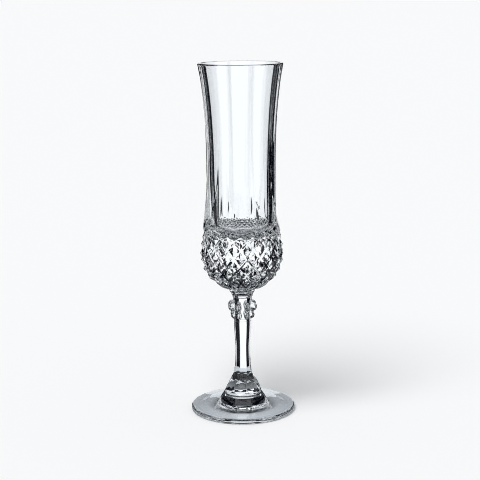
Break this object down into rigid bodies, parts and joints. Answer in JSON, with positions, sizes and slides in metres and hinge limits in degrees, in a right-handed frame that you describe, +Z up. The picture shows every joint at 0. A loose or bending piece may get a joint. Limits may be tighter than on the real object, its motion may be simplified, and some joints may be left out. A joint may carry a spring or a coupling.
{
  "type": "champagne flute",
  "caption": "Tall stemmed drinking glass: flared bowl with flat cut panels above a band of raised diamonds, on a beaded knop, a faceted shaft with thumbprints and a round foot",
  "frame": {"origin": "centre of the foot's underside, on the table plane, on the flute's axis", "axes": "+Z up along the axis towards the rim; -Y towards the viewer; +X to the viewer's right"},
  "size_m": [0.06, 0.06, 0.2],
  "materials": {
    "clear_glass": "polished"
  },
  "bodies": {
    "root": {"foot": "clear_glass", "stem_shaft": "clear_glass", "stem_knop": "clear_glass", "neck_collar": "clear_glass", "bowl": "clear_glass"}
  },
  "joints": []
}
